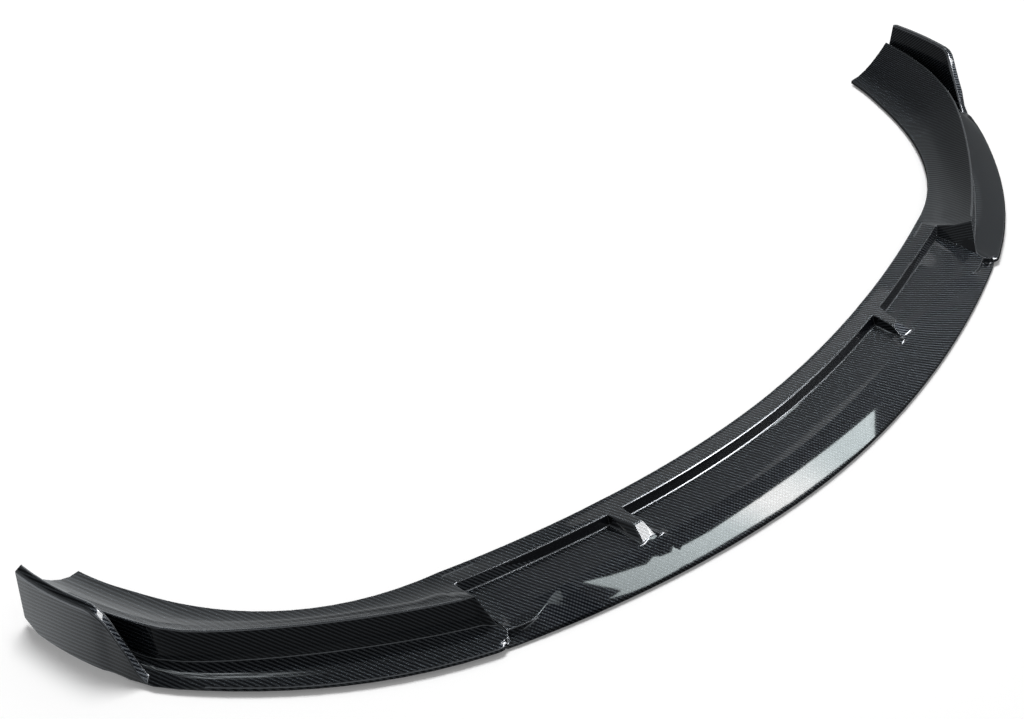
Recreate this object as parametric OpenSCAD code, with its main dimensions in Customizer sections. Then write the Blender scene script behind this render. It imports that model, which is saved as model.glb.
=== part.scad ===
// Front splitter lip: one moulded thin-wall crescent that hangs under a front bumper.
// X runs across the car, Y from the nose (negative) to the rear tips (positive), Z up.
// The origin is the middle of the footprint, on the floor the lip stands on.

/* [Overall size] */
// Width over the two fins
lip_width = 1768; // [1700:10:1840]
// Depth from the nose to the rear tips of the arms
lip_depth = 548; // [520:4:580]
// Height of the fins, the tallest part
fin_height = 99; // [85:1:110]
// Thickness of the moulded wall
wall = 3; // [2.5:0.25:3.5]

/* [Centre blade] */
// Depth of the blade in the middle, from the nose to the bumper edge
blade_depth = 145; // [135:1:155]
// How far the nose runs back between the middle and the end wall
nose_sweep = 94; // [84:1:104]
// How far the bumper edge runs back over the same length
edge_sweep = 84; // [74:1:94]
// Width of the flat flange that screws up under the bumper
flange_w = 26; // [20:1:30]
// Level of the flange
flange_h = 26; // [22:1:32]
// Level of the plateau at the foot of the flange
plateau_h = 12; // [9:1:15]
// Level of the crease where the front slope starts
crease_h = 15; // [12:1:18]
// Width of the front slope, from the crease to the nose
slope_w = 59; // [48:1:63]
// Height of the rounded nose
nose_h = 9; // [7.5:0.5:11]
// Width of the front slope where it is tucked under the side blade
tuck_w = 19; // [15:1:24]
// Drop from the side blade to the tucked end of the slope
tuck_drop = 9; // [6:0.5:9.5]

/* [Ribs] */
// Distance of each rib from the middle
rib_x = 281; // [250:1:310]
// Width of a rib where it leaves the flange
rib_w = 20; // [14:1:26]
// Width of a rib at its front tip
rib_tip_w = 7.5; // [6:0.5:10]
// Length of the level part of a rib, from the flange to the kink
rib_level = 33; // [24:1:40]

/* [Side arms] */
// Height of the crest that wraps the bumper corner
crest_h = 56; // [48:1:64]
// Extra height of the crest at the rear
crest_rise = 6; // [0:1:10]
// Radius of the bumper edge of an arm at the rear
arm_r = 292; // [284:1:300]
// Width of the concave band at the rear, from the bumper edge to the crest
band_w = 90; // [82:1:94]
// Width from the crest to the outer edge at the middle of an arm
blade_w = 46; // [38:1:50]
// Level of the bumper edge at the rear
edge_h = 10; // [8.5:0.5:14]
// Clearance of the side blade's bottom edge over the floor
side_gap = 4; // [0:0.5:5]
// Height of the step wall's foot, the inner level of the side blade
foot_h = 15; // [13:0.5:18]
// Height of the side blade's nose
side_nose_h = 12; // [10:0.5:14]
// Angle swept by an arm about its own centre
arm_angle = 78.5; // [76:0.5:82]

/* [Fins] */
// Angle at which a fin starts to rise from the side blade
fin_start = 53; // [50:0.5:56]
// Angle over which it rises to full height
fin_rise = 8; // [6:0.5:10]
// Thickness of a fin
fin_t = 12; // [10:0.5:15]
// Height of the cut lower rear corner of a fin
fin_cut = 12; // [8:1:20]

/* [Hidden] */
// Depth of the turned-down hem along the bumper edge
hem = 2 * wall;
// Lean of a rib's flank where it leaves the flange, and width of its foot at the crease
rib_lean = 2;
rib_foot_w = 26;
// How far a rib's tip turns in towards the middle, and how far it stays behind the crease
rib_shift = 9;
rib_setback = 4;
// Width of the chamfer along the foot of the ribs and the end wall, at the crease
skirt_w = 6;
// Rise of the chamfer along the foot of the ribs and the end wall
skirt_rise = 2.5;
// Draft of the flange's riser
riser_draft = 6;
// Outward slope of the step wall, crest to foot
step_draft = 11;
// Setback of the nose's bottom edge: centre blade and side blade
nose_undercut = 3;
side_undercut = 5;
// Distance from the bumper edge to the end wall's foot
foot_back = 104;
// Setback of the rounded end of the side blade
corner_back = 6;
// Power of the centre blade's plan curves, a little fuller than a parabola
plan_power = 1.9;
// Lead of the crest corner over the end wall's foot, in degrees about the arm's centre
corner_lead = 2;
// Angle at which the centre blade ends and the side blade begins
notch_angle = 1.45;
// Last and first stations either side of the notch
before_notch = notch_angle - 0.1;
after_notch = notch_angle + 0.15;
// Angle at which a fin reaches its full height
fin_full = fin_start + fin_rise;
// How far a fin stands in from the blade's outer edge, and its toe-in per degree
fin_inset = 21;
fin_toe = 1.33;
// Centre of the arms' sweep, set so that the fins' rear ends span the width
arm_cy = lip_depth + arm_r * cos(arm_angle);
tip_r = arm_r + band_w + blade_w - fin_inset - fin_toe * (arm_angle - fin_full);
arm_cx = lip_width / 2 - tip_r * sin(arm_angle);
// Radii of the arm's edges where it meets the centre blade
join_edge_r = arm_cy - blade_depth - edge_sweep;
join_nose_r = arm_cy - nose_sweep;
end_foot_r = join_edge_r + foot_back;
// Rails of a section, from the bumper edge to the nose
rails = 14;
ring = 2 * rails;

// Shaping helpers
function clamp(t) = max(0, min(1, t));
function ease(t) = let(c = clamp(t)) c * c * (3 - 2 * c);
function mix(a, b, t) = a + (b - a) * t;
function unit(v) = v / norm(v);

// Plan lines of the centre blade, as distance behind the nose's tip
function nose_line(x) = nose_sweep * pow(x / arm_cx, plan_power);
function edge_line(x) = blade_depth + edge_sweep * pow(x / arm_cx, plan_power);
// The crease draws nearer to the nose slowly at first, then quickly before the side blade
function slope_line(x) = let(t = x / arm_cx)
    nose_line(x) + mix(slope_w, tuck_w, 0.2 * clamp((t - 0.67) / 0.15) + 0.8 * ease((t - 0.81) / 0.15));

// Plan radii of an arm, against the angle swept
function edge_r(a) = arm_r + (join_edge_r - arm_r) * pow(clamp(1 - a / 65), 1.5);
function crest_r(a) = min(join_edge_r + 83, arm_r + band_w
    + (join_edge_r + 88 - arm_r - band_w) * pow(clamp(1 - a / 45), 2.3) - 0.7 * max(0, a - 50));
function outer_r(a) = arm_r + band_w + blade_w
    + (join_nose_r + 5 - arm_r - band_w - blade_w) * pow(clamp(1 - a / 50), 1.8)
    - fin_inset * ease((a - 50) / (fin_full - 50)) - fin_toe * max(0, a - fin_full);

// Levels along an arm
function edge_z(a) = edge_h + (flange_h - edge_h) * pow(clamp(1 - a / 60), 2);
function crest_z(a) = crest_h + crest_rise * ease((a - 45) / 20);
// A straight rise with a rounded top
function fin_part(a) = let(t = (a - fin_start) / fin_rise, over = max(0, t - 0.75)) t > 1.25 ? 1 : max(0, t - over * over);
function fin_z(a) = mix(side_nose_h, fin_height, fin_part(a)) - 8 * clamp((a - fin_full) / (arm_angle - fin_full));
function bottom_z(a) = side_gap * ease((a - notch_angle) / 1.2) * (1 - fin_part(a))
    + fin_cut * clamp((a - arm_angle + 3.5) / 3.5);

// Skin of the centre blade at x. on_rib is 1 on a rib's top and 0 off it, skirt is 1 at the foot
// of a rib's flank or of the end wall, where a chamfer widens towards the crease.
// Each rail is [lead angle, distance behind the nose's tip, level].
function centre_skin(x, on_rib = 0, skirt = 0) =
    let(
        edge = edge_line(x),
        join = ease((x / arm_cx - 0.75) / 0.25),
        riser = edge - flange_w - 5 * join,
        slope = slope_line(x),
        nose = nose_line(x),
        tuck = ease((x / arm_cx - 0.92) / 0.07),
        level = mix(plateau_h, foot_h + 1, join),
        crease = mix(crease_h, foot_h + 1, join),
        flange_end = flange_h + 5 * join,
        kink = mix(riser - rib_level, (riser + edge - foot_back) / 2, join),
        foot = mix(slope, edge - foot_back, ease((x / arm_cx - 0.85) / 0.15)),
        below = crease - tuck_drop * tuck
    )
    [
        [0, edge, flange_h - hem],
        [0, edge, flange_h],
        [0, edge - flange_w / 3, flange_h],
        [0, edge - flange_w * 2 / 3, mix(flange_h, flange_end, 0.5)],
        [0, riser, flange_end],
        [0, riser - riser_draft, mix(level, flange_h, on_rib)],
        [0, kink, mix(mix(level, crease, 0.5) + skirt_rise / 2 * skirt, flange_h, on_rib)],
        [0, foot + rib_setback * on_rib, crease + skirt_rise * skirt],
        [0, slope - 1.5, crease - 0.2 * (1 - join)],
        [0, slope - 3, below - 0.5],
        [0, mix(nose, slope, 0.5), mix(nose_h, below, 0.55)],
        [0, nose + 1.5, mix(nose_h, nose_h - 1.5, tuck)],
        [0, nose, nose_h / 2],
        [0, nose + nose_undercut, 0]
    ];

// Share of the band's width at each rail between the bumper edge and the crest
function band_share(k, a) = mix([0, 0.13, 0.26, 0.39, 0.7, 1][k - 1], [0, 0.22, 0.42, 0.62, 0.82, 1][k - 1],
    ease((a - 0.3) / 8));

// Lead of each rail past the end wall's foot, which fades out along the arm
function lead(k, a) = [0, 0, 0, 0, 0.15, 1, corner_lead, 0.2][k] * clamp(1 - a / 4);

function band_rail(k, a) =
    let(at = a + lead(k, a), share = band_share(k, a))
    [at, arm_cy - mix(edge_r(at), crest_r(at), share), mix(edge_z(at), crest_z(at), pow(share, 1.8))];

// Skin of an arm at angle a, past the notch
function side_skin(a) =
    let(
        side = ease((a - notch_angle) / 1.2),
        up = fin_part(a),
        outer = outer_r(a) - corner_back * (1 - side),
        thick = mix(2, fin_t, ease((a - fin_start + 7) / 6)),
        crest = crest_r(a),
        gap = outer - thick - crest,
        foot_at = a + lead(7, a),
        foot = mix(end_foot_r, crest_r(foot_at) + min(step_draft, gap * 0.35), ease(a / 2)),
        floor_z = mix(foot_h, crest_z(a) - 8, ease((a - fin_start) / (arm_angle - fin_start))),
        spread = ease((a - after_notch) / 2.4),
        rim = outer - thick - mix(2, min(2, gap * 0.2), up)
    )
    [
        [a, arm_cy - edge_r(a), edge_z(a) - hem],
        for (k = [1:6]) band_rail(k, a),
        [foot_at, arm_cy - foot, mix(foot_h + 1, floor_z, ease(a / 4))],
        [a, arm_cy - mix(rim - 2, mix(foot, rim, 0.35), spread), floor_z],
        [a, arm_cy - mix(rim - 1, mix(foot, rim, 0.7), spread), floor_z],
        [a, arm_cy - rim, mix(side_nose_h + 1, floor_z, ease(up * 3))],
        [a, arm_cy - outer + thick, fin_z(a)],
        [a, arm_cy - outer, mix((side_nose_h + side_gap) / 2, fin_z(a) - 3, ease(up * 3))],
        [a, arm_cy - outer + side_undercut * (1 - ease(up * 3)), bottom_z(a)]
    ];

// Skin before the notch, where the centre blade's tucked end runs out under the side blade
function tucked_skin(a) =
    let(
        outer = arm_cy - nose_sweep * pow(1 + arm_cy * sin(a) / arm_cx * 0.85, plan_power),
        step = mix(arm_cy - slope_line(arm_cx), outer - 6, ease(a / before_notch)),
        foot = mix(end_foot_r, crest_r(a + lead(7, a)) + step_draft, ease(a / 2)),
        low = foot_h + 1 - tuck_drop
    )
    [
        [a, arm_cy - edge_r(a), edge_z(a) - hem],
        for (k = [1:6]) band_rail(k, a),
        [a + lead(7, a), arm_cy - foot, foot_h + 1],
        [a, arm_cy - step, foot_h + 0.5],
        [a, arm_cy - step - 1.5, low],
        [a, arm_cy - (step + outer) / 2, low + 0.2],
        [a, arm_cy - outer + 1.5, nose_h - 1.5],
        [a, arm_cy - outer, nose_h / 2],
        [a, arm_cy - outer + nose_undercut, 0]
    ];

// Underside: the skin moved in by the wall up to the step, then the hollow of the rim
function side_of(p, q) = let(d = unit([q[1] - p[1], q[2] - p[2]])) [-d[1], d[0]];
function offset_rail(skin, k) =
    let(
        before = side_of(skin[k - 1], skin[k]),
        after = side_of(skin[k], skin[k + 1]),
        way = unit(before + after),
        reach = min(wall / (way * before), 1.6 * wall),
        // The corner post between the end wall and the step wall is thicker
        post = (k == 7 ? 2.5 : k == 6 ? 0.5 : 0) * wall * (skin[6][0] - skin[0][0]) / corner_lead
    )
    [skin[k][0], skin[k][1] + way[0] * reach + post, skin[k][2] + way[1] * reach];

// The rim is hollow where the blade is thick enough, and the hollow reaches up into a fin
function rim_rail(skin, k) =
    let(
        a = skin[k][0],
        hollow = ease((a - fin_start - 3) / fin_rise),
        move = clamp(8 * hollow),
        step = offset_rail(skin, 9),
        bottom = [a, skin[rails - 1][1] + 1.25 * wall, skin[rails - 1][2]],
        low = [a, skin[11][1] + 1.25 * wall, min(skin[10][2], skin[11][2]) - wall],
        top = [a, mix(low[1], skin[11][1] - wall, move), mix(low[2], skin[11][2] - wall, hollow)],
        inner = [a, skin[10][1] - wall, skin[10][2] - wall],
        outer = [a, skin[12][1] + wall, top[2]]
    )
    k == 9 ? step
    : k == 10 ? mix(mix(step, top, 0.5), inner, move)
    : k == 11 ? top
    : k == 12 ? mix(mix(top, bottom, 0.5), outer, move)
    : bottom;

function under_rail(skin, k) =
    k == 0 ? [skin[0][0], skin[0][1] - wall, skin[0][2]]
    : k < 9 ? offset_rail(skin, k)
    : rim_rail(skin, k);

// A station is [x of the rung, skin, shift of its underside along x up to the step, and past it]
function place(x, rail) =
    let(r = arm_cy - rail[1])
    [x + r * sin(rail[0]), arm_cy - r * cos(rail[0]) - lip_depth / 2, rail[2]];

function ring_at(station) =
    [
        for (k = [0:rails - 1]) place(station[0][k], station[1][k]),
        for (k = [rails - 1:-1:0]) place(station[0][k] + station[k < 9 ? 2 : 3], under_rail(station[1], k))
    ];

// The centre skin with each rail taken at its own x
function skin_at(xs, on_rib = 0, skirt = 0) = [for (k = [0:rails - 1]) centre_skin(xs[k], on_rib, skirt)[k]];

function plain(x) = [[for (k = [1:rails]) x], centre_skin(x), 0, 0];

// Half width of a rib at each rail: its top, the foot of its flank and the edge of its skirt
function along(k) = k <= 5 ? 0 : k == 6 ? 0.5 : 1;
function rib_half(k, out) = out == 0 ? mix(rib_w, rib_tip_w, along(k)) / 2
    : mix(rib_w / 2 + rib_lean, rib_foot_w / 2, along(k)) + (out - 1) * skirt_w * along(k);
// out is 0 on the rib's top, 1 at the foot of its flank and 2 at the edge of its skirt
function rib_station(side, out) =
    let(xs = [for (k = [0:rails - 1]) rib_x - along(k) * (out == 0 ? rib_shift : rib_shift / 3)
        + side * (rib_half(k, out) + (out == 2 ? 0.5 : 0))])
    [
        xs,
        skin_at(xs, out == 0 ? 1 : 0, out == 1 ? 1 : 0),
        -side * wall * (2 - out) / 2,
        -side * wall * (2 - out) / 2
    ];

// The end wall's foot closes the plateau, with a skirt like a rib's
function end_shift(k) = k < 4 ? -1 : k < 6 ? 0 : k == 6 ? 1 : 3;
function end_station(out) =
    let(xs = [for (k = [0:rails - 1])
        arm_cx - 1 + end_shift(k) - out * (0.8 + 1.5 * skirt_w * (k < 9 ? along(k) : 0))])
    [
        xs,
        skin_at(xs, 0, 1 - out),
        wall * (1 - out),
        0
    ];
function arm_station(a) =
    let(shift = wall * clamp(1 - a / 4))
    [[for (k = [1:rails]) arm_cx], a < notch_angle ? tucked_skin(a) : side_skin(a), shift, a < notch_angle ? 0 : shift];

half = [
    for (t = [0:8]) plain(t / 8 * (rib_x - rib_w / 2 - 22)),
    for (out = [2:-1:0]) rib_station(-1, out),
    for (out = [0:2]) rib_station(1, out),
    for (t = [0:4]) plain(mix(rib_x + rib_w / 2 + 22, 0.8 * arm_cx, t / 4)),
    for (t = [1:8]) plain(mix(0.8, 0.965, t / 8) * arm_cx),
    end_station(1),
    end_station(0),
    for (t = [1:4]) arm_station(mix(0.3, before_notch, (t - 1) / 3)),
    for (a = [after_notch, 1.9, 2.3, 3, 4]) arm_station(a),
    for (t = [1:12]) arm_station(mix(4, fin_start - 1, t / 12)),
    for (t = [0:4]) arm_station(mix(fin_start, fin_full - 2, t / 4)),
    for (t = [1:4]) arm_station(mix(fin_full - 2, fin_full + 2, t / 4)),
    for (t = [1:5]) arm_station(mix(fin_full + 2, arm_angle - 3.5, t / 5)),
    for (t = [1:3]) arm_station(mix(arm_angle - 3.5, arm_angle, t / 3))
];
count = len(half);

// Rings from the left tip to the right tip, mirrored about the middle
function mirrored(points) = [for (p = points) [-p[0], p[1], p[2]]];
rings = [
    for (i = [count - 1:-1:1]) mirrored(ring_at(half[i])),
    for (i = [0:count - 1]) ring_at(half[i])
];
points = [for (r = rings) each r];

// A quad is split along its shorter diagonal, which keeps the two halves alike
function split(a, b, c, d) =
    norm(points[a] - points[c]) < norm(points[b] - points[d]) ? [[a, b, c], [a, c, d]] : [[b, c, d], [b, d, a]];
last = (len(rings) - 1) * ring;
faces = [
    for (i = [0:len(rings) - 2], k = [0:ring - 1])
        let(a = i * ring + k, b = i * ring + (k + 1) % ring)
        each split(a, a + ring, b + ring, b),
    for (k = [0:rails - 2])
        each split(k, k + 1, ring - 2 - k, ring - 1 - k),
    for (k = [0:rails - 2])
        each split(last + k, last + ring - 1 - k, last + ring - 2 - k, last + k + 1)
];

module splitter_lip() {
    color([0.04, 0.04, 0.045])
        polyhedron(points = points, faces = faces, convexity = 8);
}

splitter_lip();
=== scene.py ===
import math

import bmesh
import bpy
from mathutils import Matrix, Vector


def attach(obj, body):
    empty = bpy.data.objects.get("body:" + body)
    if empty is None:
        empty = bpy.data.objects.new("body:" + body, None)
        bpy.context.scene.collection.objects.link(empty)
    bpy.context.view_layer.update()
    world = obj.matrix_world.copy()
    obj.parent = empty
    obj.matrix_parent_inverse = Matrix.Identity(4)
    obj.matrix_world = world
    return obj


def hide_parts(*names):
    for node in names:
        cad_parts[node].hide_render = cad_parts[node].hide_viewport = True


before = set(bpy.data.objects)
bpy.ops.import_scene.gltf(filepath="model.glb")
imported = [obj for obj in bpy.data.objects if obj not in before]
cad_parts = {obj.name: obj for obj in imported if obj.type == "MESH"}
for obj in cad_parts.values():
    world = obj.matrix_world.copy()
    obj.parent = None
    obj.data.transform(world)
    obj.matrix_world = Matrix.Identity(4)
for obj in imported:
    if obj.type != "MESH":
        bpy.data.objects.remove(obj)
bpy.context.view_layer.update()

bpy.context.scene.view_settings.view_transform = "Standard"

# The lip's own measures, in metres, as the part's source has them
ARM_CENTRE_X = 0.508
ARM_CENTRE_Y = 0.3322
NOSE_SWEEP = 0.094
SWEEP_POWER = 1.9
MID_RADIUS = 0.44
NOSE_LINE = ARM_CENTRE_Y - MID_RADIUS - NOSE_SWEEP

# The arms' bands draw in by the taper over the turn, in radians. The least reach keeps the angle real
ARM_TAPER = 0.09
ARM_TAPER_TURN = 0.9
LEAST_REACH = 0.0001

# Heights above the floor at which one form ends and the next starts
NOSE_TOP = 0.0105
CREASE_LOW = 0.012
CREASE_HIGH = 0.02
RISER_FOOT = 0.0135
RISER_TOP = 0.0255
MIDDLE_TOP = 0.0265
BLADE_TOP = 0.03
ARM_CREST = 0.05
FIN_FOOT = 0.052

# The radius to which each rim is broken, and how much of a narrow face or short edge it may take
RIM_RADIUS = 0.0016
FIN_RIM_RADIUS = 0.004
ARM_RIM_RADIUS = 0.001
RIM_DEPTH_SHARE = 0.46
RIM_LENGTH_SHARE = 0.4
RIM_SEGMENTS = 3

# Rims along the lip are broken from a slighter angle on than those across it
SOFT_ALONG = math.radians(13)
SOFT_ACROSS = math.radians(30)
ALONG_LIP = 0.75
SWING_BEHIND_NOTCH = 0.33

# The rounding of the source that is let out along the crease
CREASE_END = 0.42
CREASE_FADE = 0.1
CREASE_DROP = 0.0004
NARROW_FACE = 0.0024
FACES_UP = 0.9

# The cloth: one rib to the next across the twill, and one bead to the next along a rib
TWILL_PITCH = 0.0052
TWILL_STEP = 0.0042
TWILL_SLACK = 1.2
RIB_RISE = 0.8
RIB_SHARPNESS = 1.8
STEP_SLANT = 0.3
MIDDLE_LEAN = 0.31
NOTCH_LEAN = 0.5
BEAD_SHARE = 0.05
FRONT_BEAD_SHARE = 0.6
# Painted shade: the flat tones put in place of the weave where the light shows little of it, darker on the
# right blade and on the riser
SHADED_WEAVE_TONE = 0.3
BLADE_PAINTED_SHADE = 0.15
RISER_PAINTED_SHADE = 0.27
GAP_BLACK = (0.0012, 0.0018, 0.0045)
BUNDLE_GREY = (0.115, 0.127, 0.142)
CLOTH_ROUGHNESS = 0.52
CLOTH_RELIEF = 0.0002

# Where the weave changes: the crease lies further ahead towards the notches, the riser, where shade is
# painted over the weave, lies behind it, and the dull place is beside the left notch
CREASE_AHEAD = 0.0265
RISER_FRONT = -0.035
RISER_REAR = -0.052
RISER_END = 0.5
FRONT_END = -0.5
DULL_PLACE = (-0.46, -0.445, -0.408, -0.396)
DULL_SHARE = 0.85

# The clear resin over the cloth, and the roughness of the rims, which are painted paler as a highlight
COAT_ROUGHNESS = 0.03
RESIN_IOR = 1.45
RIM_ROUGHNESS = 0.2
RIM_WEAR = 0.12

# The camera, as it was worked out from the photo
CAMERA_PLACE = (-1.5925, -1.1427, 1.6302)
CAMERA_AZIMUTH = math.radians(-47.7133)
CAMERA_RISE = math.radians(39.5784)
CAMERA_ROLL = math.radians(1.4816)
CAMERA_LENS = 65.457
SENSOR_WIDTH = 36

# The floor, which turns as white as the backdrop from near to far, and what of it gloss mirrors
FLOOR_REACH = 12
FLOOR_NEAR = 1.2
FLOOR_FAR = 3.2
FLOOR_PAINT = (0.85, 0.85, 0.85)
NEAR_LIFT = 0.12
FAR_LIFT = 0.9
MIRRORED_FRONT = 0.08
MIRRORED_REAR = 0.55
MIRRORED_SHADOW_RIGHT = 0.8

# The light that matt surfaces get from all round, and the height of the lamps that face down
PLAIN_LIGHT = 0.36
LAMP_HEIGHT = 2.0


class Wire:
    """A socket whose arithmetic adds Math nodes to its tree."""

    def __init__(self, paint, socket):
        self.paint = paint
        self.socket = socket

    def maths(self, operation, first, second=None):
        inputs = {0: first} if second is None else {0: first, 1: second}
        return self.paint.node("ShaderNodeMath", {"operation": operation}, inputs)

    def __add__(self, other):
        return self.maths("ADD", self, other)

    __radd__ = __add__

    def __sub__(self, other):
        return self.maths("SUBTRACT", self, other)

    def __rsub__(self, other):
        return self.maths("SUBTRACT", other, self)

    def __mul__(self, other):
        return self.maths("MULTIPLY", self, other)

    __rmul__ = __mul__

    def __truediv__(self, other):
        return self.maths("DIVIDE", self, other)

    def __rtruediv__(self, other):
        return self.maths("DIVIDE", other, self)

    def __gt__(self, other):
        return self.maths("GREATER_THAN", self, other)

    def __lt__(self, other):
        return self.maths("LESS_THAN", self, other)

    def size(self):
        return self.maths("ABSOLUTE", self)

    def cosine(self):
        return self.maths("COSINE", self)

    def root(self):
        return self.maths("SQRT", self)

    def power(self, other):
        return self.maths("POWER", self, other)

    def lower_of(self, other):
        return self.maths("MINIMUM", self, other)

    def higher_of(self, other):
        return self.maths("MAXIMUM", self, other)

    def angle_from(self, other):
        return self.maths("ARCTAN2", self, other)

    def blend(self, first, second):
        """first where this is 0, second where it is 1."""
        return self * second + (1 - self) * first

    def wave(self):
        """0 to 1 and back for each whole step of this."""
        return (self * (2 * math.pi)).cosine() * 0.5 + 0.5

    def stepped(self, low, high):
        """0 below low, 1 above high, and smooth between them."""
        inputs = {"Value": self, "From Min": low, "From Max": high}
        return self.paint.node("ShaderNodeMapRange", {"interpolation_type": "SMOOTHSTEP"}, inputs)

    def between(self, low, full, spent, high):
        """0 outside low and high, 1 from full to spent, and smooth between them."""
        return self.stepped(low, full) * (1 - self.stepped(spent, high))


class Paint:
    """The nodes of a material, a lamp's face or the world."""

    def __init__(self, tree):
        self.tree = tree
        self.tree.nodes.clear()

    def node(self, kind, settings=None, inputs=None, output=0):
        made = self.tree.nodes.new(kind)
        for name, value in (settings or {}).items():
            setattr(made, name, value)
        for name, value in (inputs or {}).items():
            if isinstance(value, Wire):
                self.tree.links.new(value.socket, made.inputs[name])
            else:
                made.inputs[name].default_value = value
        return Wire(self, made.outputs[output])

    def coordinates(self, vector):
        split = self.node("ShaderNodeSeparateXYZ", inputs={"Vector": vector}).socket.node
        return [Wire(self, socket) for socket in split.outputs]

    def object_place(self):
        return self.node("ShaderNodeTexCoord", output="Object")

    def ray_is(self, kind):
        rays = self.node("ShaderNodeLightPath").socket.node
        return Wire(self, rays.outputs[f"Is {kind} Ray"])

    def noise(self, place, scale, detail):
        inputs = {"Vector": place, "Scale": scale, "Detail": detail}
        return self.node("ShaderNodeTexNoise", {"noise_dimensions": "3D"}, inputs)

    def mix_colour(self, share, first, second):
        # A Mix node's colours are its sockets 6 and 7, and output 2
        inputs = {0: share, 6: (*first, 1), 7: (*second, 1)}
        return self.node("ShaderNodeMix", {"data_type": "RGBA"}, inputs, output=2)

    def mix_shader(self, share, first, second):
        return self.node("ShaderNodeMixShader", None, {0: share, 1: first, 2: second})

    def shine(self, kind, colour, strength):
        """Light of a colour, from an Emission or a Background."""
        colour = colour if isinstance(colour, Wire) else (*colour, 1)
        return self.node(kind, None, {"Color": colour, "Strength": strength})

    def clear_coated(self, colour, roughness, changes):
        """Cloth or resin under a clear gloss coat."""
        inputs = {"Base Color": colour, "Metallic": 1.0, "Roughness": roughness,
                  "Coat Roughness": COAT_ROUGHNESS, "IOR": RESIN_IOR, **changes}
        return self.node("ShaderNodeBsdfPrincipled", None, inputs)

    def finish_with(self, kind, surface):
        output = self.tree.nodes.new(kind)
        self.tree.links.new(surface.socket, output.inputs["Surface"])


def new_material(name):
    material = bpy.data.materials.new(name)
    material.use_nodes = True
    return material, Paint(material.node_tree)


def middle_line(across):
    """How far back the lip's middle line lies, at a distance across from the lip's middle."""
    return (across / ARM_CENTRE_X).power(SWEEP_POWER) * NOSE_SWEEP + NOSE_LINE


def twill_places(x, y, z):
    """How a place lies on the lip, forward and along, and on the cloth, in ribs and in steps of a rib."""
    right = x.higher_of(0)
    on_arm = right > ARM_CENTRE_X
    arm_angle = (right - ARM_CENTRE_X).higher_of(LEAST_REACH).angle_from(ARM_CENTRE_Y - y)
    arm_radius = ((right - ARM_CENTRE_X).power(2) + (y - ARM_CENTRE_Y).power(2)).root()
    band_radius = MID_RADIUS - arm_angle.stepped(0, ARM_TAPER_TURN) * ARM_TAPER
    forward = on_arm.blend(middle_line(right) - y, arm_radius - band_radius)
    along = x.lower_of(ARM_CENTRE_X) + on_arm * arm_angle * MID_RADIUS
    # The cloth turns one way towards the right arm and back again round it
    slant = along.stepped(0.1, 0.42) * NOTCH_LEAN - along.stepped(0.52, 0.85) + MIDDLE_LEAN
    ribs = (along - forward * slant + z * RIB_RISE) / TWILL_PITCH
    steps = (forward + along * STEP_SLANT - z) / TWILL_STEP
    return forward, along, ribs, steps


def carbon_finish():
    """Black twill cloth under a clear gloss coat: its bundles shine a little, and the gaps stay black."""
    material, paint = new_material("carbon_twill_gloss")
    place = paint.object_place()
    x, y, z = paint.coordinates(place)
    forward, along, ribs, steps = twill_places(x, y, z)
    ribs = ribs + paint.noise(place, 9.0, 1.0) * TWILL_SLACK
    bead = (steps + ribs * 0.5).wave()
    # On the front slope, ahead of its crease, the weave is coarser and clearer
    ahead = middle_line(x.size()) - y
    past_crease = ahead - x.size().stepped(0.15, 0.5) * CREASE_AHEAD
    front = (x > FRONT_END) * (1 - x.stepped(0.05, 0.35)) * past_crease.stepped(0.0125, 0.0145)
    weave = ribs.wave().power(RIB_SHARPNESS) * (1 - (front * FRONT_BEAD_SHARE + BEAD_SHARE) * bead)
    # Beside the left notch the coat is kept dull, as the photo mirrors no lamp there
    beside_notch = x.between(*DULL_PLACE) * past_crease.stepped(-0.004, 0)
    coat = 1 - beside_notch * DULL_SHARE
    # Painted shade: the weave fades towards the right arm to a flat tone, and its blade and the riser show
    # next to none of it, in darker flat tones, though the cloth is the same all round
    clear = 1 - along.stepped(0.46, 0.62) * 0.5 * (1 - along.stepped(0.7, 0.95))
    blade = (x > ARM_CENTRE_X) * forward.stepped(0.008, 0.018) * (z < BLADE_TOP)
    # Painted shade: the riser is painted darker and plainer than the cloth around it
    riser = (ahead > RISER_REAR) * (ahead < RISER_FRONT) * (z > RISER_FOOT) * (z < RISER_TOP)
    riser = riser * (x.size() < RISER_END)
    clear = clear * (1 - blade) * (1 - riser)
    weave = clear.blend(SHADED_WEAVE_TONE - blade * BLADE_PAINTED_SHADE - riser * RISER_PAINTED_SHADE, weave)
    colour = paint.mix_colour(weave, GAP_BLACK, BUNDLE_GREY)
    raised = {"Strength": 0.15, "Distance": CLOTH_RELIEF, "Height": weave}
    relief = paint.node("ShaderNodeBump", None, raised)
    surface = paint.clear_coated(colour, CLOTH_ROUGHNESS, {"Normal": relief, "Coat Weight": coat})
    paint.finish_with("ShaderNodeOutputMaterial", surface)
    return material


def rim_painted_highlight_finish():
    """The rims, painted a paler metal than the cloth under the same clear coat: a painted highlight, so
    that they catch more of the lamps.
    """
    material, paint = new_material("rim_painted_highlight")
    highlight_wear = paint.noise(paint.object_place(), 60.0, 2.0)
    # Painted highlight: the rims' paler colour, varied a little at random, so that they mirror the lamps as
    # bright lines
    colour = paint.mix_colour(highlight_wear, (0.15, 0.157, 0.17), (0.21, 0.217, 0.23))
    surface = paint.clear_coated(colour, highlight_wear * RIM_WEAR + RIM_ROUGHNESS, {"Coat Weight": 1.0})
    paint.finish_with("ShaderNodeOutputMaterial", surface)
    return material


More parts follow.
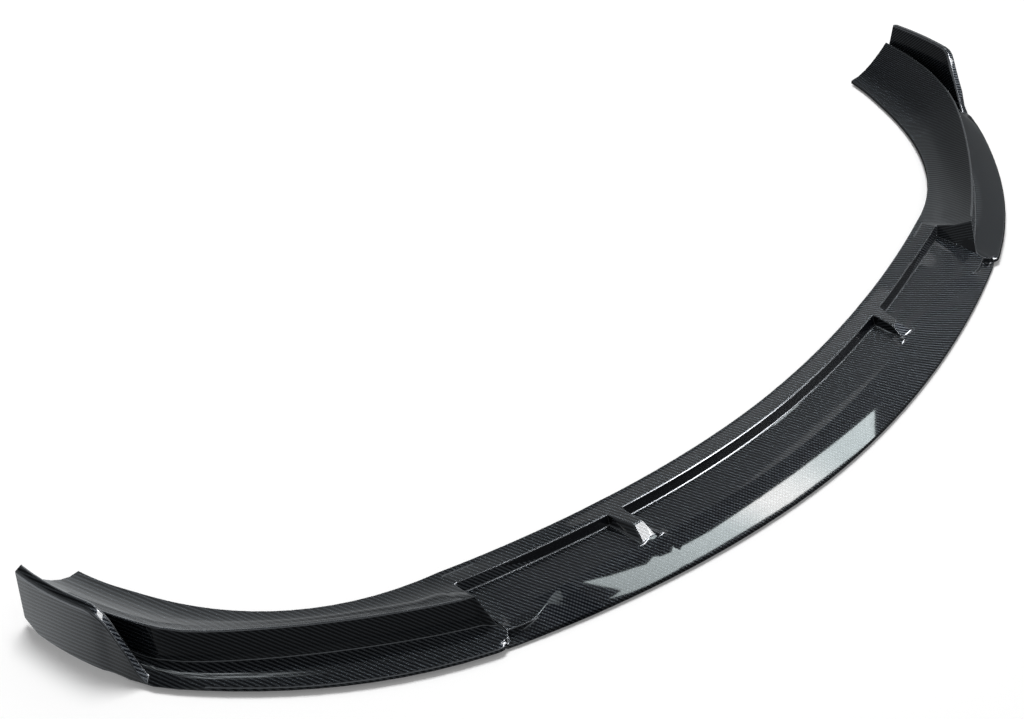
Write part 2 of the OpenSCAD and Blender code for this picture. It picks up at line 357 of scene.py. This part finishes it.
def lip_heading(place):
    """Which way the lip runs at a place, as a level unit vector."""
    across = abs(place.x) / ARM_CENTRE_X
    if across < 1:
        swing = math.atan(NOSE_SWEEP * SWEEP_POWER / ARM_CENTRE_X * across ** (SWEEP_POWER - 1))
    else:
        swing = math.atan2(abs(place.x) - ARM_CENTRE_X, ARM_CENTRE_Y - place.y)
        swing = max(swing, SWING_BEHIND_NOTCH * (1 - swing))
    return Vector((math.cos(swing), math.copysign(1, place.x) * math.sin(swing), 0))


def middle_of(edge):
    return (edge.verts[0].co + edge.verts[1].co) / 2


def runs_along(edge):
    run = (edge.verts[1].co - edge.verts[0].co).normalized()
    return abs(run.dot(lip_heading(middle_of(edge)))) > ALONG_LIP


def depth_of(face):
    return face.calc_area() / max(edge.calc_length() for edge in face.edges)


def rim_share(edge):
    """How much of the fins' rim radius an edge gets: none where its faces meet softly, or on the nose."""
    middle = middle_of(edge)
    on_arm = abs(middle.x) > ARM_CENTRE_X
    softest = SOFT_ALONG
    if not runs_along(edge) or on_arm and middle.z < ARM_CREST:
        softest = SOFT_ACROSS
    if edge.calc_face_angle(0) < softest:
        return 0
    if middle.z > FIN_FOOT:
        radius = FIN_RIM_RADIUS
    elif abs(middle.x) < ARM_CENTRE_X and NOSE_TOP < middle.z < MIDDLE_TOP:
        radius = RIM_RADIUS
    elif abs(middle.x) < ARM_CENTRE_X and middle.z < NOSE_TOP:
        edge.smooth = False
        return 0
    else:
        radius = ARM_RIM_RADIUS
    depth = min(depth_of(face) for face in edge.link_faces)
    radius = min(radius, RIM_DEPTH_SHARE * depth, RIM_LENGTH_SHARE * edge.calc_length())
    return radius / FIN_RIM_RADIUS


def flatten_crease(shell):
    """The front slope runs flat up to its crease: the source's small rounding there is let out."""
    dull = []
    kept = set()
    for edge in shell.edges:
        middle = middle_of(edge)
        on_crease = abs(middle.x) < CREASE_END and CREASE_LOW < middle.z < CREASE_HIGH
        if not (on_crease and len(edge.link_faces) == 2 and runs_along(edge)):
            continue
        front, rear = sorted(edge.link_faces, key=lambda face: face.calc_center_median().y)
        if front.normal.z < FACES_UP or rear.normal.z < FACES_UP:
            continue
        if depth_of(rear) < NARROW_FACE:
            dull.append(edge)
        elif depth_of(front) < NARROW_FACE:
            kept.update(edge.verts)
            edge.smooth = False
    for corner in kept:
        corner.co.z -= CREASE_DROP * min(1, max(0, (CREASE_END - abs(corner.co.x)) / CREASE_FADE))
    bmesh.ops.dissolve_edges(shell, edges=dull, use_verts=True, use_face_split=False)


def place_in_scene(name, data):
    """A new object at the scene's origin."""
    thing = bpy.data.objects.new(name, data)
    bpy.context.scene.collection.objects.link(thing)
    return thing


def moulded_lip():
    """The lip as it leaves its mould: the source's shape with its sharp rims broken."""
    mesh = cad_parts["splitter_lip"].data.copy()
    mesh.name = "moulded_lip"
    lip = place_in_scene("moulded_lip", mesh)
    shell = bmesh.new()
    shell.from_mesh(mesh)
    bmesh.ops.remove_doubles(shell, verts=shell.verts, dist=1e-6)
    bmesh.ops.join_triangles(shell, faces=shell.faces, angle_face_threshold=math.radians(25),
                             angle_shape_threshold=math.radians(70))
    flatten_crease(shell)
    rims = shell.edges.layers.float.new("bevel_weight_edge")
    for edge in shell.edges:
        edge[rims] = rim_share(edge)
    for face in shell.faces:
        face.smooth = True
    shell.to_mesh(mesh)
    shell.free()
    mesh.materials.clear()
    mesh.materials.append(carbon_finish())
    mesh.materials.append(rim_painted_highlight_finish())
    rounding = lip.modifiers.new("rims", "BEVEL")
    rounding.width = FIN_RIM_RADIUS
    # The broken rims take the second finish, painted paler as a highlight
    rounding.material = 1
    rounding.segments = RIM_SEGMENTS
    rounding.limit_method = "WEIGHT"
    rounding.use_clamp_overlap = False
    rounding.miter_outer = "MITER_SHARP"
    level = lip.modifiers.new("smooth_faces", "WEIGHTED_NORMAL")
    level.mode = "FACE_AREA"
    level.weight = 50
    level.keep_sharp = True
    return lip


def pale_floor():
    """A white floor that keeps the lip's shadow. Gloss mirrors it pale behind the lip and dark in front."""
    material, paint = new_material("white_floor")
    x, y = paint.coordinates(paint.object_place())[:2]
    mirror = y.stepped(0.02, 0.25) * MIRRORED_REAR + MIRRORED_FRONT
    # Painted shadow: towards the right, inside the arm, the floor that gloss mirrors is darkened as if the
    # lip shaded it
    mirror = mirror * (1 - x.stepped(0.45, 0.65) * MIRRORED_SHADOW_RIGHT)
    far = (x.power(2) + y.power(2)).root().stepped(FLOOR_NEAR, FLOOR_FAR)
    matt = paint.node("ShaderNodeBsdfDiffuse", None, {"Color": (*FLOOR_PAINT, 1)})
    seen = paint.ray_is("Camera")
    lift = paint.shine("ShaderNodeEmission", (1, 1, 1), seen * (far * FAR_LIFT + NEAR_LIFT))
    lit = paint.node("ShaderNodeAddShader", None, {0: matt, 1: lift})
    mirrored = paint.shine("ShaderNodeEmission", (0.95, 0.98, 1), mirror)
    paint.finish_with("ShaderNodeOutputMaterial", paint.mix_shader(paint.ray_is("Glossy"), lit, mirrored))
    return material


def stage_floor():
    shell = bmesh.new()
    bmesh.ops.create_grid(shell, x_segments=1, y_segments=1, size=FLOOR_REACH)
    mesh = bpy.data.meshes.new("studio_floor")
    shell.to_mesh(mesh)
    shell.free()
    mesh.materials.append(pale_floor())
    floor = place_in_scene("studio_floor", mesh)


def camera_as_in_photo():
    level = Vector((math.cos(CAMERA_AZIMUTH), math.sin(CAMERA_AZIMUTH), 0))
    away = Vector((math.sin(CAMERA_AZIMUTH), -math.cos(CAMERA_AZIMUTH), 0))
    back = away * math.cos(CAMERA_RISE) + Vector((0, 0, math.sin(CAMERA_RISE)))
    upright = back.cross(level)
    right = level * math.cos(CAMERA_ROLL) + upright * math.sin(CAMERA_ROLL)
    up = upright * math.cos(CAMERA_ROLL) - level * math.sin(CAMERA_ROLL)
    lens = bpy.data.cameras.new("studio_camera")
    lens.lens = CAMERA_LENS
    lens.sensor_width = SENSOR_WIDTH
    lens.clip_start = 0.05
    lens.clip_end = 60
    camera = place_in_scene("studio_camera", lens)
    turn = Matrix((right, up, back)).transposed().to_4x4()
    camera.matrix_world = Matrix.Translation(CAMERA_PLACE) @ turn
    bpy.context.scene.camera = camera


def softbox(name, place, target, width, height, glow):
    """An area lamp whose face is glow times as bright as white paper."""
    lamp = bpy.data.lights.new(name, "AREA")
    lamp.shape = "RECTANGLE"
    lamp.size = width
    lamp.size_y = height
    lamp.energy = glow * math.pi * width * height
    holder = place_in_scene(name, lamp)
    aim = Vector(target) - Vector(place)
    holder.matrix_world = Matrix.Translation(place) @ aim.to_track_quat("-Z", "Y").to_matrix().to_4x4()
    return holder


def gloss_softbox(name, place, target, width, height, glow):
    """A lamp that is there for its reflection, and lights nothing matt."""
    holder = softbox(name, place, target, width, height, glow)
    holder.visible_diffuse = False
    return holder


def overhead_softbox(name, x, y, width, height, glow):
    """A lamp for gloss that hangs face down, and the nodes of its face."""
    holder = gloss_softbox(name, (x, y, LAMP_HEIGHT), (x, y, 0), width, height, glow)
    holder.data.use_nodes = True
    return Paint(holder.data.node_tree)


def strip_softbox():
    """The long lamp over the front slope: two bent edges, slanted ends and a hot middle."""
    paint = overhead_softbox("strip_softbox", 1.45, 0.37, 1.5, 0.36, 1)
    x, y = paint.coordinates(paint.node("ShaderNodeNewGeometry"))[:2]
    rear_edge = 0.415
    front_edge = 0.265
    left_end = 0.77
    right_end = 2.0
    rear = y < (1.15 - x).higher_of(0) * 0.3 + rear_edge
    front = y > (1.5 - x).higher_of(0) * 0.08 + front_edge
    left = x > y.stepped(0.3, 0.36) * 0.085 + left_end
    right = x < (y - 0.27) * 0.8 + right_end
    left_glow = 6.5
    more_on_right = 4
    more_in_middle = 5.5
    middle = x.between(1.25, 1.48, 1.5, 1.85)
    level = x.stepped(0.75, 1.4) * more_on_right + middle * more_in_middle + left_glow
    level = level * rear * front * left * right
    tint = paint.mix_colour(middle, (0.9, 1, 1.01), (1, 1, 0.99))
    paint.finish_with("ShaderNodeOutputLight", paint.shine("ShaderNodeEmission", tint, level))


def blade_softbox():
    """A streaky lamp over the left blade, soft at both ends."""
    paint = overhead_softbox("blade_softbox", -0.2, 1.12, 0.8, 0.5, 1)
    x, y = paint.coordinates(paint.node("ShaderNodeNewGeometry"))[:2]
    patches = ((x * 1.3 + y * 3.1) * 9).cosine() * ((x * 2.3 - y * 1.1) * 7).cosine()
    ends = x.between(-0.6, -0.3, 0.0, 0.2) * y.stepped(0.87, 1.0)
    faint_glow = 0.5
    streak_glow = 3.2
    level = (patches.stepped(-0.3, 0.6) * streak_glow + faint_glow) * ends
    paint.finish_with("ShaderNodeOutputLight", paint.shine("ShaderNodeEmission", (0.9, 0.97, 1), level))


def studio_world():
    """White for the camera, plain for matt surfaces, and a grey room for gloss."""
    world = bpy.data.worlds.new("studio_world")
    bpy.context.scene.world = world
    world.use_nodes = True
    sky = Paint(world.node_tree)
    x, y, z = sky.coordinates(sky.node("ShaderNodeTexCoord"))
    # Grey walls under a dark ceiling, a bright bay behind on the right, and the dark of the room elsewhere
    wall_grey = 0.46
    ceiling_shade = 0.31
    walls = wall_grey - z.stepped(0.5, 0.8) * ceiling_shade
    turn = y - x
    bay = turn.between(-0.5, -0.2, -0.02, 0.18) * (1 - z.stepped(0.15, 0.5)) * 0.5
    room = 1 - turn.stepped(0.22, 0.6) * 0.5
    camera_side = 1 - (0 - y).stepped(0, 0.5) * (1 - z.stepped(0.1, 0.45)) * 0.85
    level = (walls + bay) * room * camera_side * 0.85
    around = sky.shine("ShaderNodeBackground", (0.94, 0.98, 1), level)
    plain = sky.shine("ShaderNodeBackground", (1, 1, 1), PLAIN_LIGHT)
    white = sky.shine("ShaderNodeBackground", (1, 1, 1), 1.0)
    lit = sky.mix_shader(sky.ray_is("Glossy"), plain, around)
    sky.finish_with("ShaderNodeOutputWorld", sky.mix_shader(sky.ray_is("Camera"), lit, white))


def studio_lamps():
    strip_softbox()
    gloss_softbox("rear_softbox", (1.95, 1.07, LAMP_HEIGHT), (1.95, 1.07, 0), 1.5, 0.24, 0.5)
    gloss_softbox("front_softbox", (1.4, -1.7, 1.8), (0, -0.1, 0.2), 0.8, 1.2, 14)
    gloss_softbox("rib_softbox", (1.25, -1.04, LAMP_HEIGHT), (-0.27, -0.17, 0.02), 0.6, 0.3, 14)
    blade_softbox()
    key = softbox("key_softbox", (0.5, 1.3, 5.0), (0, 0, 0), 2.0, 2.0, 17.5)
    key.visible_glossy = False


camera_as_in_photo()
stage_floor()
studio_world()
studio_lamps()
lip = moulded_lip()
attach(lip, "root")
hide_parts("splitter_lip")
